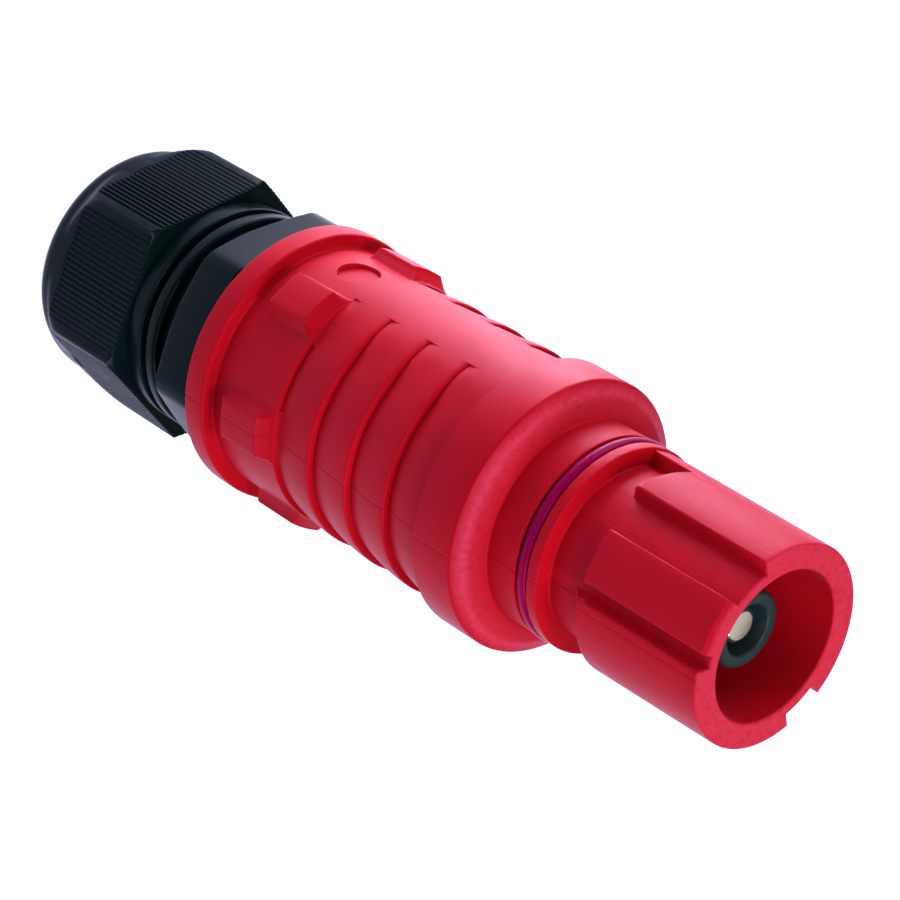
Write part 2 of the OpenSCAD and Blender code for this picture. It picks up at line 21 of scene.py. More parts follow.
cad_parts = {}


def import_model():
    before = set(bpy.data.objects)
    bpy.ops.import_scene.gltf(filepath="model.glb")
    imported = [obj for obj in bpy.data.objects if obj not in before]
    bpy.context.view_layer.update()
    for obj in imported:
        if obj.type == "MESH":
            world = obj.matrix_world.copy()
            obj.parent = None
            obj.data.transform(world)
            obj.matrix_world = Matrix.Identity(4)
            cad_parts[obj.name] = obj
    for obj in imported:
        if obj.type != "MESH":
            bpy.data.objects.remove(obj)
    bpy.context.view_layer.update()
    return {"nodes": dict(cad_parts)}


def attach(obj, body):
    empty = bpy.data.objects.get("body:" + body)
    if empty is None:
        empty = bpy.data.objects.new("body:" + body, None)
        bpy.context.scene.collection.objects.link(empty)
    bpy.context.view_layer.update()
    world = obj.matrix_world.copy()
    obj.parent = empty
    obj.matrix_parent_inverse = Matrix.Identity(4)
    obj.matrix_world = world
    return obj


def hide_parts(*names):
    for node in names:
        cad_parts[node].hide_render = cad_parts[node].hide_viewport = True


MM = 0.001
BODY = "root"
CREASE_ANGLE = math.radians(40)
LARGEST_CUT = 0.49
OVERCUT = 1.0
Triple = tuple[float, float, float]
Value = float | tuple[float, ...] | NodeSocket
log = logging.getLogger("connector")


@dataclass(frozen=True)
class Corner:
    """Corner of an outline: radius, height, and how far its rounding reaches each way."""

    r: float
    z: float
    cut: float = 0.0


def rounded(corners: Sequence[Corner], closed: bool = True, steps: int = 5) -> np.ndarray:
    """Turns corners into an outline with true arcs.

    Args:
        corners: corners in order, outside upwards and inside downwards.
        closed: whether the last corner runs on to the first.
        steps: chords in each arc.

    Returns:
        Points of the outline as rows of radius and height.
    """
    places = [np.array((corner.r, corner.z)) for corner in corners]
    points = []
    for index, corner in enumerate(corners):
        here = places[index]
        at_end = not closed and index in (0, len(corners) - 1)
        if corner.cut == 0 or at_end:
            points.append(here)
            continue
        back = places[index - 1] - here
        ahead = places[(index + 1) % len(corners)] - here
        cut = min(corner.cut, LARGEST_CUT * np.linalg.norm(back), LARGEST_CUT * np.linalg.norm(ahead))
        back = back / np.linalg.norm(back)
        ahead = ahead / np.linalg.norm(ahead)
        half = math.acos(float(np.clip(back @ ahead, -1, 1))) / 2
        middle = back + ahead
        centre = here + middle / np.linalg.norm(middle) * cut / math.cos(half)
        first = here + back * cut - centre
        last = here + ahead * cut - centre
        sweep = math.pi - 2 * half
        for step in range(steps + 1):
            share = step / steps
            arc = math.sin((1 - share) * sweep) * first + math.sin(share * sweep) * last
            points.append(centre + arc / math.sin(sweep))
    return np.array(points)


def with_heights(line: np.ndarray, heights: Iterable[float], least: float = 0.004) -> np.ndarray:
    """Adds points to an open outline where it passes the given heights.

    Args:
        line: outline whose heights never fall.
        heights: heights that need a point.
        least: smallest step in height to a point that is there.

    Returns:
        The outline with the added points.
    """
    wanted = sorted(set(heights))
    result = [line[0]]
    for low, high in zip(line[:-1], line[1:]):
        span = high[1] - low[1]
        inside = [z for z in wanted if low[1] + least < z < high[1] - least]
        result += [low + (high - low) * (z - low[1]) / span for z in inside]
        result.append(high)
    return np.array(result)


def thinned(values: Sequence[float] | np.ndarray, gap: float) -> np.ndarray:
    """Sorts values and drops each one that is closer than a gap to the one before."""
    kept: list[float] = []
    for value in np.sort(values):
        if not kept or value - kept[-1] > gap:
            kept.append(float(value))
    return np.array(kept)


def smooth_max(first: np.ndarray, second: np.ndarray, fillet: float) -> np.ndarray:
    """Larger of two surfaces, with a soft fillet where they meet."""
    near = np.clip(fillet - np.abs(first - second), 0, None) / fillet
    return np.maximum(first, second) + near * near * fillet / 4


def smooth_step(share: np.ndarray) -> np.ndarray:
    """Share between 0 and 1 that starts and ends gently."""
    share = np.clip(share, 0, 1)
    return share * share * (3 - 2 * share)


def angle_from(angles: np.ndarray, centre: float) -> np.ndarray:
    """Signed angle from a centre, between -180 and 180 degrees."""
    return (angles - centre + 180) % 360 - 180


def along(radius: float, angle: np.ndarray | float) -> np.ndarray | float:
    """Length along a circle of that radius for an angle in degrees."""
    return radius * np.radians(angle)


def around(radius: float, length: np.ndarray | float) -> np.ndarray | float:
    """Angle in degrees for a length along a circle of that radius."""
    return np.degrees(length / radius)


@dataclass(frozen=True)
class Wall:
    """Steep side of a raised form, with a rounded crest and a fillet at its foot."""

    crown: float = 0.35
    lean: float = 0.12
    rise: float = 3.0

    def drop(self, inside: np.ndarray) -> np.ndarray:
        """How far the surface lies below the top of the form.

        Args:
            inside: distance inwards from the crest edge, negative outside it.

        Returns:
            Drop below the top, without limit outside the form.
        """
        arc = np.clip(inside, 0, self.crown)
        crest = self.crown - np.sqrt(self.crown**2 - (self.crown - arc) ** 2)
        steep = self.crown + np.clip(-inside, 0, None) * (self.rise - self.crown) / self.lean
        return np.where(inside >= 0, crest, steep)

    def knots(self) -> np.ndarray:
        """Distances at which the wall needs a line of the skin."""
        crest = self.crown * (1 - np.cos(np.linspace(0, math.pi / 2, 5)))
        foot = -self.lean - np.array((0.5, 0.25, 0.1, 0.0))
        return np.concatenate((foot, (-0.85 * self.lean,), crest))


@dataclass
class Skin:
    """Points round the axis: a column at each angle, a row at each point of an outline."""

    angles: np.ndarray
    radii: np.ndarray
    heights: np.ndarray

    @classmethod
    def spun(cls, columns: np.ndarray, line: np.ndarray) -> "Skin":
        """Spins an outline round the axis, with a column at each angle."""
        flat = np.zeros((len(columns), len(line)))
        return cls(columns[:, None] + flat, line[:, 0] + flat, line[:, 1] + flat)

    def raise_to(self, radii: np.ndarray, low: float, high: float) -> None:
        """Raises the skin to the given radii between two heights."""
        on = (self.heights >= low - 0.001) & (self.heights <= high + 0.001)
        self.radii = np.maximum(self.radii, np.where(on, radii, 0))

    def joined(self, other: "Skin") -> "Skin":
        """Skin that runs on into another one with the same columns."""
        pairs = ((self.angles, other.angles), (self.radii, other.radii), (self.heights, other.heights))
        return Skin(*(np.concatenate(pair, axis=1) for pair in pairs))

    def build(self, name: str) -> Object:
        """Closes the skin to a smooth-shaded piece that rides on the body.

        Args:
            name: name of the piece.

        Returns:
            The new object, linked to the scene.
        """
        turn = np.radians(self.angles)
        points = np.stack((-self.radii * np.sin(turn), -self.radii * np.cos(turn), self.heights), axis=-1)
        first = np.arange(self.radii.size).reshape(self.radii.shape)
        above = np.roll(first, -1, axis=1)
        faces = np.stack((first, above, np.roll(above, -1, axis=0), np.roll(first, -1, axis=0)), axis=-1)
        mesh = bpy.data.meshes.new(name)
        mesh.from_pydata((points.reshape(-1, 3) * MM).tolist(), [], faces.reshape(-1, 4).tolist())
        work = bmesh.new()
        work.from_mesh(mesh)
        bmesh.ops.remove_doubles(work, verts=work.verts, dist=0.002 * MM)
        work.to_mesh(mesh)
        work.free()
        mesh.validate()
        mesh.shade_smooth()
        mesh.set_sharp_from_angle(angle=CREASE_ANGLE)
        piece = bpy.data.objects.new(name, mesh)
        bpy.context.scene.collection.objects.link(piece)
        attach(piece, BODY)
        return piece


def turned(name: str, corners: Sequence[Corner], segments: int = 144) -> Object:
    """Makes a turned piece from the corners of its closed outline."""
    return Skin.spun(np.linspace(0, 360, segments, endpoint=False), rounded(corners)).build(name)


def ring_corners(inner: float, outer: float, low: float, high: float, cuts: Sequence[float]) -> list[Corner]:
    """Corners of the section of a ring, from its low inner edge round by the outside."""
    places = ((inner, low), (outer, low), (outer, high), (inner, high))
    return [Corner(*place, cut) for place, cut in zip(places, cuts)]


def as_cutter(work: bmesh.types.BMesh) -> Object:
    """Makes a cutting object of finished mesh work."""
    mesh = bpy.data.meshes.new("cutter")
    work.to_mesh(mesh)
    work.free()
    cutter = bpy.data.objects.new("cutter", mesh)
    bpy.context.scene.collection.objects.link(cutter)
    return cutter


def cut_away(piece: Object, cutter: Object) -> None:
    """Cuts one object out of a piece for good and deletes the cutter."""
    change = piece.modifiers.new("cut", "BOOLEAN")
    change.operation = "DIFFERENCE"
    change.solver = "EXACT"
    change.object = cutter
    bpy.context.view_layer.update()
    shape = bpy.data.meshes.new_from_object(piece.evaluated_get(bpy.context.evaluated_depsgraph_get()))
    piece.modifiers.clear()
    piece.data = shape
    shape.set_sharp_from_angle(angle=CREASE_ANGLE)
    bpy.data.objects.remove(cutter)


class Socket(Enum):
    """Kinds of socket that the shader groups use."""

    NUMBER = "NodeSocketFloat"
    COLOUR = "NodeSocketColor"
    VECTOR = "NodeSocketVector"


class Group:
    """Shader group under construction, with the place on the piece as its first input."""

    def __init__(self, name: str) -> None:
        """Starts a group of that name."""
        self.tree = bpy.data.node_groups.new(name, "ShaderNodeTree")
        self.start = self.tree.nodes.new("NodeGroupInput")
        self.end = self.tree.nodes.new("NodeGroupOutput")
        self.place = self.takes("Place", kind=Socket.VECTOR)

    def takes(self, name: str, value: float | None = None, kind: Socket = Socket.NUMBER) -> NodeSocket:
        """Adds a named input and returns the socket inside the group."""
        entry = self.tree.interface.new_socket(name, in_out="INPUT", socket_type=kind.value)
        if value is not None:
            entry.default_value = value
        return self.start.outputs[name]

    def gives(self, name: str, source: NodeSocket, kind: Socket = Socket.NUMBER) -> NodeTree:
        """Adds a named output, links its source and returns the group's tree."""
        self.tree.interface.new_socket(name, in_out="OUTPUT", socket_type=kind.value)
        self.tree.links.new(source, self.end.inputs[name])
        return self.tree

    def math(self, operation: str, *values: Value) -> NodeSocket:
        """Adds a sum of sockets and numbers and returns its result."""
        return add_node(self.tree, "Math", dict(enumerate(values)), operation=operation).outputs[0]

    def noise(self, scale: Value, detail: float, **values: Value) -> NodeSocket:
        """Adds noise at the place, unless another vector is given, and returns it."""
        links = {"Vector": self.place, "Scale": scale, "Detail": detail, **values}
        return add_node(self.tree, "TexNoise", links).outputs[0]

    def stretched(self, scale: Value, rotation: Value = (0.0, 0.0, 0.0)) -> NodeSocket:
        """Adds a stretched and turned copy of the place and returns it."""
        links = {"Vector": self.place, "Scale": scale, "Rotation": rotation}
        return add_node(self.tree, "Mapping", links).outputs[0]

    def height(self) -> NodeSocket:
        """Adds the height of the place along the axis and returns it."""
        return add_node(self.tree, "SeparateXYZ", {0: self.place}).outputs[2]

    def spread(
        self, value: Value, low: Value, high: Value, start: Value = 0.0, end: Value = 1.0
    ) -> NodeSocket:
        """Adds a map of a value from one range to another and returns it."""
        links = {"Value": value, "From Min": low, "From Max": high, "To Min": start, "To Max": end}
        return add_node(self.tree, "MapRange", links).outputs[0]


def set_inputs(node: Node, values: dict[str | int, Value]) -> None:
    """Links sockets to the inputs of a node and sets its other values."""
    for key, value in values.items():
        if isinstance(value, NodeSocket):
            node.id_data.links.new(value, node.inputs[key])
        else:
            node.inputs[key].default_value = value


def add_node(
    tree: NodeTree, kind: str, values: dict[str | int, Value] | None = None, **settings: object
) -> Node:
    """Adds a node to a tree.

    Args:
        tree: tree that gets it.
        kind: Blender's type name without its ShaderNode prefix.
        values: sockets to link or values to set, by input.
        settings: attributes of the node.

    Returns:
        The node.
    """
    node = tree.nodes.new("ShaderNode" + kind)
    for key, value in settings.items():
        setattr(node, key, value)
    set_inputs(node, values or {})
    return node


class Effects:
    """Shader groups that several finishes share, each built once."""

    def __init__(self) -> None:
        """Builds all groups."""
        self.grain = self.build_grain()
        self.cloud = self.build_cloud()
        self.rub = self.build_rub()
        self.rings = self.build_rings()
        self.highlight_paint = self.build_highlight_paint()
        self.draft = self.build_draft()

    def build_grain(self) -> NodeTree:
        """Fine eroded skin of a mould: a height for the bump."""
        group = Group("mould_grain")
        scale = group.math("DIVIDE", 1 / MM, group.takes("Size", 0.3))
        fine = group.noise(scale, 3.0, Roughness=0.6)
        coarse = group.noise(group.math("MULTIPLY", scale, 0.12), 2.0)
        return group.gives("Height", group.math("MULTIPLY_ADD", coarse, 0.8, fine))

    def build_cloud(self) -> NodeTree:
        """Slow change between two tints of one plastic, from the flow in the mould."""
        group = Group("flow_tint")
        light = group.takes("Light", kind=Socket.COLOUR)
        deep = group.takes("Deep", kind=Socket.COLOUR)
        broad = group.noise(38.0, 4.0, Distortion=0.6)
        cloud = group.math("MULTIPLY_ADD", group.noise(900.0, 2.0), 0.35, broad)
        tints = {0: group.spread(cloud, 0.45, 0.9), 6: light, 7: deep}
        mix = add_node(group.tree, "Mix", tints, data_type="RGBA")
        return group.gives("Color", mix.outputs[2], Socket.COLOUR)

    def build_rub(self) -> NodeTree:
        """Faint marks of handling: a roughness between two values."""
        group = Group("handling_marks")
        smooth = group.takes("Smooth", 0.35)
        rough = group.takes("Rough", 0.5)
        patch = group.noise(60.0, 5.0, Roughness=0.65)
        hair = group.noise(1.0, 1.0, Vector=group.stretched((900.0, 900.0, 60.0), (0.5, 0.35, 0.0)))
        marks = group.math("MULTIPLY_ADD", group.spread(hair, 0.66, 0.74), 0.25, patch)
        return group.gives("Roughness", group.spread(marks, 0.3, 0.85, smooth, rough))

    def build_rings(self) -> NodeTree:
        """Turning rings round the axis: a height that waves with radius and height."""
        group = Group("turning_rings")
        pitch = group.takes("Pitch", 0.2)
        parts = add_node(group.tree, "SeparateXYZ", {0: group.place}).outputs
        flat = add_node(group.tree, "CombineXYZ", {0: parts[0], 1: parts[1]}).outputs[0]
        reach = add_node(group.tree, "VectorMath", {0: flat}, operation="LENGTH").outputs["Value"]
        turns = group.math("DIVIDE", round(math.tau / MM), pitch)
        phase = group.math("MULTIPLY", group.math("ADD", reach, parts[2]), turns)
        return group.gives("Height", group.math("SINE", phase))

    def build_highlight_paint(self) -> NodeTree:
        """Painted highlight: a paler band round one height, a mask that fades to both sides."""
        group = Group("painted_highlight_edge")
        middle = group.takes("Middle", 0.0)
        reach = group.takes("Reach", 0.0005)
        away = group.math("ABSOLUTE", group.math("SUBTRACT", group.height(), middle))
        broken = group.spread(group.noise(800.0, 4.0), 0.0, 0.55)
        mask = group.math("MULTIPLY", group.spread(away, reach, 0.0), broken)
        return group.gives("Mask", mask)

    def build_draft(self) -> NodeTree:
        """Fine lines that a core or slide leaves along the axis: a height above one level."""
        group = Group("drawn_lines")
        start = group.takes("Start", 0.0)
        lines = group.noise(1.0, 2.0, Vector=group.stretched((2000.0, 2000.0, 14.0)))
        above = group.math("GREATER_THAN", group.height(), start)
        return group.gives("Height", group.math("MULTIPLY", lines, above))


@dataclass(frozen=True)
class PaintedHighlight:
    """Band of painted highlight on a moulding, in millimetres along the axis."""

    middle: float
    reach: float


@dataclass(frozen=True)
class Finish:
    """Surface of one raw material, made of the shared effects."""

    name: str
    light: Triple
    deep: Triple
    smooth: float = 0.35
    rough: float = 0.5
    grain: float = 0.3
    grain_depth: float = 0.02
    metal: float = 0.0
    ring_pitch: float = 0.0
    ring_depth: float = 0.0
    scatter: float = 0.0
    scatter_l: float = 1.2
    sheen: float = 0.0
    shine: float = 0.5
    gleam: Triple = (1.0, 1.0, 1.0)
    # colour of the painted highlight bands that the finish mixes in
    highlight_colour: Triple = (1.0, 1.0, 1.0)
    painted_bands: tuple[PaintedHighlight, ...] = ()
    draft_start: float = 0.0
    draft_depth: float = 0.07

    def material(self, effects: Effects) -> Material:
        """Builds the material.

        Args:
            effects: the shared shader groups.

        Returns:
            A node material with procedural colour, roughness and bump.
        """
        material = bpy.data.materials.new(self.name)
        material.use_nodes = True
        tree = material.node_tree
        place = add_node(tree, "TexCoord").outputs["Object"]
        marks = {"Place": place, "Smooth": self.smooth, "Rough": self.rough}
        values = {
            "Base Color": self.colour(tree, effects, place),
            "Roughness": add_node(tree, "Group", marks, node_tree=effects.rub).outputs["Roughness"],
            "Normal": self.normal(tree, effects, place),
            "Metallic": self.metal,
            "Specular IOR Level": self.shine,
            "Specular Tint": (*self.gleam, 1),
            "Sheen Weight": self.sheen,
            "Sheen Tint": (*self.gleam, 1),
            "Sheen Roughness": 0.3,
            "Subsurface Weight": self.scatter,
            "Subsurface Radius": (1.0, 0.2, 0.15),
            "Subsurface Scale": self.scatter_l * MM,
        }
        set_inputs(tree.nodes["Principled BSDF"], values)
        return material

    def colour(self, tree: NodeTree, effects: Effects, place: NodeSocket) -> NodeSocket:
        """Adds the two tints and the painted highlight bands and returns their colour."""
        tints = {"Place": place, "Light": (*self.light, 1), "Deep": (*self.deep, 1)}
        colour = add_node(tree, "Group", tints, node_tree=effects.cloud).outputs["Color"]
        # each band mixes a paler colour in round one height: painted highlight
        for highlight_paint in self.painted_bands:
            band = {"Place": place, "Middle": highlight_paint.middle * MM, "Reach": highlight_paint.reach * MM}
            mask = add_node(tree, "Group", band, node_tree=effects.highlight_paint).outputs["Mask"]
            mix = {0: mask, 6: colour, 7: (*self.highlight_colour, 1)}
            colour = add_node(tree, "Mix", mix, data_type="RGBA").outputs[2]
        return colour

    def normal(self, tree: NodeTree, effects: Effects, place: NodeSocket) -> NodeSocket:
        """Adds the bumps, each on the one before, and returns their normal."""
        layers = [(effects.grain, {"Size": self.grain}, self.grain_depth)]
        if self.ring_pitch:
            layers.append((effects.rings, {"Pitch": self.ring_pitch}, self.ring_depth))
        if self.draft_start:
            layers.append((effects.draft, {"Start": self.draft_start * MM}, self.draft_depth))
        under: dict[str | int, Value] = {}
        for group, values, depth in layers:
            height = add_node(tree, "Group", {"Place": place, **values}, node_tree=group).outputs["Height"]
            bump = add_node(tree, "Bump", {"Height": height, "Distance": depth * MM, **under})
            under = {"Normal": bump.outputs["Normal"]}
        return under["Normal"]


FINISHES = (
    Finish(
        "red_nylon", (0.4, 0.003, 0.009), (0.33, 0.002, 0.006), 0.36, 0.48, 0.25, 0.008,
        scatter=0.05, sheen=0.045, shine=0.055, gleam=(0.5, 0.45, 1.0),
        # The paler, pinker bands round the collar's front edge and round the front rim are painted
        # highlight.
        highlight_colour=(0.5, 0.03, 0.06), draft_start=164.0,
        painted_bands=(PaintedHighlight(146.9, 1.4), PaintedHighlight(206.2, 1.0)),
    ),
    Finish(
        "seal_rubber", (0.24, 0.0, 0.04), (0.15, 0.0, 0.035), 0.25, 0.38, 0.5, 0.006,
        shine=0.1, gleam=(1.0, 0.2, 0.5),
    ),
    Finish(
        "silvered_brass", (0.78, 0.76, 0.68), (0.66, 0.63, 0.54), 0.22, 0.36, 0.4, 0.003, 1.0,
        ring_pitch=0.16, ring_depth=0.0015,
    ),
    Finish(
        "dark_plastic", (0.012, 0.028, 0.028), (0.008, 0.02, 0.02), 0.3, 0.44, 0.3, 0.006,
        shine=0.15,
    ),
    Finish("black_rubber", (0.02, 0.02, 0.022), (0.012, 0.012, 0.013), 0.6, 0.8, 0.4, 0.02),
    Finish("natural_nylon", (0.72, 0.7, 0.6), (0.62, 0.6, 0.5), 0.4, 0.55, 0.3, 0.01, scatter=0.1),
    Finish("steel", (0.6, 0.6, 0.61), (0.5, 0.5, 0.52), 0.25, 0.42, 0.3, 0.004, 1.0),
    Finish(
        "black_nylon", (0.002, 0.008, 0.008), (0.001, 0.005, 0.005), 0.25, 0.38, 0.25, 0.008,
        shine=0.06, gleam=(0.75, 1.0, 0.95),
    ),
)


class Wardrobe:
    """Holds the finished materials by slot and dresses pieces in them."""

    def __init__(self, finishes: Sequence[Finish]) -> None:
        """Builds one material for each finish."""
        effects = Effects()
        self.materials = {finish.name: finish.material(effects) for finish in finishes}

    def dress(self, piece: Object, slot: str) -> None:
        """Gives a piece its finish.

        Args:
            piece: the piece or solid.
            slot: material slot of the record.
        """
        piece.data.materials.clear()
        piece.data.materials.append(self.materials[slot])
        log.info("%s: %s, %d faces", piece.name, slot, len(piece.data.polygons))


@dataclass
class Shell:
    """Red insulating shell: rear ring, coupling lugs, stepped grip, collar and bayonet spigot."""

    rear_z: float = 60.9
    ring_r: float = 31.6
    ring_front: float = 67.0
    floor_r: float = 28.4
    lug_count: int = 6
    lug_r: float = 31.2
    lug_half_angle: float = 8.85
    lug_rear: float = 72.8
    lug_front: float = 84.3
    recess_r: float = 4.8
    recess_z: float = 79.05
    recess_plane: float = 27.2
    recess_wall: float = 0.36
    grip_start: float = 87.09
    grip_pitch: float = 11.97
    grip_steps: int = 3
    crest_r: float = 28.8
    foot_r: float = 27.2
    panel_half_angle: float = 16.3
    panel_r: float = 29.0
    panel_margin: float = 5.0
    panel_blend: float = 22.0
    panel_blend_far: float = 10.0
    groove_rise: float = 1.0
    swell_l: float = 11.5
    collar_round: float = 0.06
    collar_r: float = 30.7
    collar_z: float = 145.5
    band_r: float = 27.2
    band_z: float = 147.6
    land_r: float = 22.9
    land_z: float = 148.2
    groove_z: float = 156.2
    groove_r: float = 20.2
    lip_z: float = 159.5
    lip_front: float = 162.3
    channel_r: float = 18.95
    pad_z: float = 169.8
    pad_slope: float = 3.2
    pad_steep: float = 0.9
    pad_r: float = 22.4
    front_r: float = 22.1
    front_z: float = 205.9
    slot: tuple[float, float] = (-84.5, -17.2)
    notch: tuple[float, float] = (137.0, 161.5)
    stop_angle: float = 19.0
    coding: tuple[float, float] = (-75.7, -43.6)
    coding_r: float = 21.15
    coding_bevel: float = 1.2
    coding_slope: float = 2.8
    mouth_r: float = 16.45
    mouth_floor: float = 150.9
    bore_r: float = 8.5
    bulkhead_z: float = 139.9
    cavity_r: float = 21.4
    snap_z: float = 101.9
    snap_r: float = 22.7
    snap_t: float = 2.0
    socket_z: float = 81.9
    socket_r: float = 24.15
    parting_angle: float = -89.0
    parting_depth: float = 0.1
    parting_w: float = 0.13
    lug_side: Wall = Wall(0.5, 1.88, 2.8)
    lug_end: Wall = Wall(0.5, 0.2, 2.8)
    lug_slope: Wall = Wall(0.3, 2.3, 2.8)
    panel_side: Wall = Wall(0.2, 0.2, 1.2)
    pad_side: Wall = Wall(0.4, 0.12, 3.45)
    pad_rear: Wall = Wall(0.3, 3.2, 3.45)
    coding_rear: Wall = Wall(0.3, 1.0, 3.45)
    pad_front: Wall = Wall(0.5, 0.1, 3.45)
    fillet: float = 0.45
    column_step: float = 4.0
    row_step: float = 6.0
    slope_step: float = 0.25
    step_lines: int = 12
    flush_power: float = 20.0
    flush_start: float = 4.0
    flush_end: float = 8.0
    swell_gap: float = 0.35
    groove_edge: float = 0.15
    groove_reach: float = 1.2
    steep_from: float = -0.2
    socket_edge: float = 0.5
    mouth_edge: float = 1.2
    front_edge: float = 0.5
    front_chord: float = 0.15

    def outside(self) -> np.ndarray:
        """Outline of the outside without lugs, panel and pads, from rear ring to front."""
        corners = [
            Corner(self.socket_r + self.socket_edge, self.rear_z),
            Corner(self.ring_r, self.rear_z, 0.6),
            Corner(self.ring_r, self.ring_front, 0.7),
            Corner(self.floor_r, self.ring_front, 0.7),
            Corner(self.floor_r, self.grip_start, 0.25),
            Corner(self.foot_r, self.grip_start, 0.2),
        ]
        shares = 1 - np.cos(np.linspace(0, math.pi / 2, self.step_lines + 1)[1:])
        for step in range(self.grip_steps):
            rear = self.grip_start + step * self.grip_pitch
            for share in shares[:-1]:
                corners.append(Corner(self.step_radius(share), rear + share * self.grip_pitch))
            grip_end = rear + self.grip_pitch
            corners += [Corner(self.crest_r, grip_end, 0.6), Corner(self.foot_r, grip_end, 0.3)]
        for share in shares * self.swell_l / self.grip_pitch:
            corners.append(Corner(self.step_radius(share), grip_end + share * self.grip_pitch))
        corners[-1] = Corner(corners[-1].r, corners[-1].z, 0.3)
        corners.append(Corner(self.collar_r, grip_end + self.swell_l, self.collar_round))
        corners += [
            Corner(self.collar_r, self.collar_z, 0.5),
            Corner(self.band_r, self.band_z, 0.3),
            Corner(self.land_r, self.land_z, 0.4),
            Corner(self.land_r, self.groove_z, 0.35),
            Corner(self.groove_r, self.groove_z, 0.4),
            Corner(self.groove_r, self.lip_z, 0.4),
            Corner(self.land_r, self.lip_z, 0.35),
            Corner(self.land_r, self.lip_front, 0.4),
            Corner(self.channel_r, self.lip_front, 0.6),
            Corner(self.channel_r, self.front_z - self.front_edge),
            Corner(self.channel_r - self.front_chord, self.front_z - self.front_chord),
            Corner(self.channel_r - self.front_edge, self.front_z),
        ]
        return rounded(corners, closed=False)

    def swell_end(self) -> float:
        """Height at which the last swelling meets the collar."""
        return self.grip_start + self.grip_steps * self.grip_pitch + self.swell_l

    def step_radius(self, share: np.ndarray | float, power: float = 2.0) -> np.ndarray | float:
        """Radius along one grip step.

        Args:
            share: way along the step, from its foot to its edge.
            power: how fast the step swells from its foot.

        Returns:
            Radius there.
        """
        return self.foot_r + (self.crest_r - self.foot_r) * (1 - (1 - share) ** power)

    def inside(self) -> np.ndarray:
        """Outline of the mouth, the bulkhead and the rear socket, from front to rear."""
        groove = self.snap_z + self.snap_t
        return rounded(
            [
                Corner(self.mouth_r + self.mouth_edge, self.front_z),
                Corner(self.mouth_r, self.front_z, 0.6),
                Corner(self.mouth_r, self.mouth_floor, 1.0),
                Corner(self.bore_r, self.mouth_floor, 0.3),
                Corner(self.bore_r, self.bulkhead_z),
                Corner(self.cavity_r, self.bulkhead_z, 0.5),
                Corner(self.cavity_r, groove),
                Corner(self.snap_r, groove),
                Corner(self.snap_r, self.snap_z),
                Corner(self.cavity_r, self.snap_z),
                Corner(self.cavity_r, self.socket_z),
                Corner(self.socket_r, self.socket_z),
                Corner(self.socket_r, self.rear_z + self.socket_edge),
            ],
            closed=False,
        )

    def pads(self) -> list[tuple[float, float]]:
        """First and last angle of each pad that stands full height in front of the channel."""
        return [(self.slot[1], self.notch[0]), (self.notch[1], self.slot[0] + 360)]

    def columns(self) -> np.ndarray:
        """Angles of the columns: an even spread, and lines at every wall."""
        angles = list(np.arange(0, 360, self.column_step))
        side = around(self.lug_r, self.lug_side.knots())
        for lug in range(self.lug_count):
            centre = (lug + 0.5) * 360 / self.lug_count
            angles += list(centre - self.lug_half_angle + side)
            angles += list(centre + self.lug_half_angle - side)
        edge = around(self.panel_r, self.panel_side.knots())
        angles += list(-self.panel_half_angle + edge) + list(self.panel_half_angle - edge)
        wall = around(self.pad_r, self.pad_side.knots())
        for start, end in (*self.pads(), self.coding):
            angles += list(start + wall) + list(end - wall)
        angles += list(self.stop_angle + wall)
        seam = around(self.floor_r, np.array((-2, -1, -0.5, 0, 0.5, 1, 2)) * self.parting_w)
        angles += list(self.parting_angle + seam) + list(self.parting_angle + 180 + seam)
        patch = around(self.floor_r, self.patch_lines() * self.recess_r)
        angles += list(patch) + list(-patch)
        return thinned(np.array(angles) % 360, around(self.floor_r, 0.02))

    def patch_lines(self) -> np.ndarray:
        """Lines of the square patch that is drawn in to the round recess, in recess radii."""
        wall = 1 - np.linspace(0, self.recess_wall, 7) / self.recess_r
        return np.concatenate(((0.0, 0.25, 0.5, 0.7, 0.85), wall[::-1], (1.04, 1.12, 1.25, 1.4, 1.6)))

    def rows(self) -> np.ndarray:
        """Outside outline with a point at every height where a form begins or ends."""
        heights = list(self.lug_rear + self.lug_end.knots())
        heights += list(self.lug_front - self.lug_slope.knots())
        heights += list(self.grip_start + self.panel_side.knots())
        heights += list(np.arange(self.pad_z - 0.1, self.pad_z + self.pad_slope + 0.4, self.slope_step))
        heights += list(self.front_z - self.pad_front.knots())
        heights += [self.front_z - self.coding_bevel, self.lip_front + 0.02]
        heights += list(self.recess_z + self.patch_lines() * self.recess_r)
        heights += list(self.recess_z - self.patch_lines() * self.recess_r)
        heights += list(np.arange(self.land_z, self.front_z, self.row_step))
        return with_heights(self.outside(), thinned(heights, 0.03))

    def raised(self, skin: Skin) -> np.ndarray:
        """Radii of the turned outside with lugs, panel and pads raised from it."""
        result = smooth_max(self.swollen(skin), self.lug_surface(skin), self.fillet)
        inside = along(self.panel_r, self.panel_half_angle - np.abs(angle_from(skin.angles, 0)))
        drop = np.maximum(self.panel_side.drop(inside), self.panel_side.drop(skin.heights - self.grip_start))
        panel = np.where(skin.heights < self.swell_end(), self.panel_r - drop, 0)
        return smooth_max(np.maximum(result, panel), self.pad_surface(skin), self.fillet)

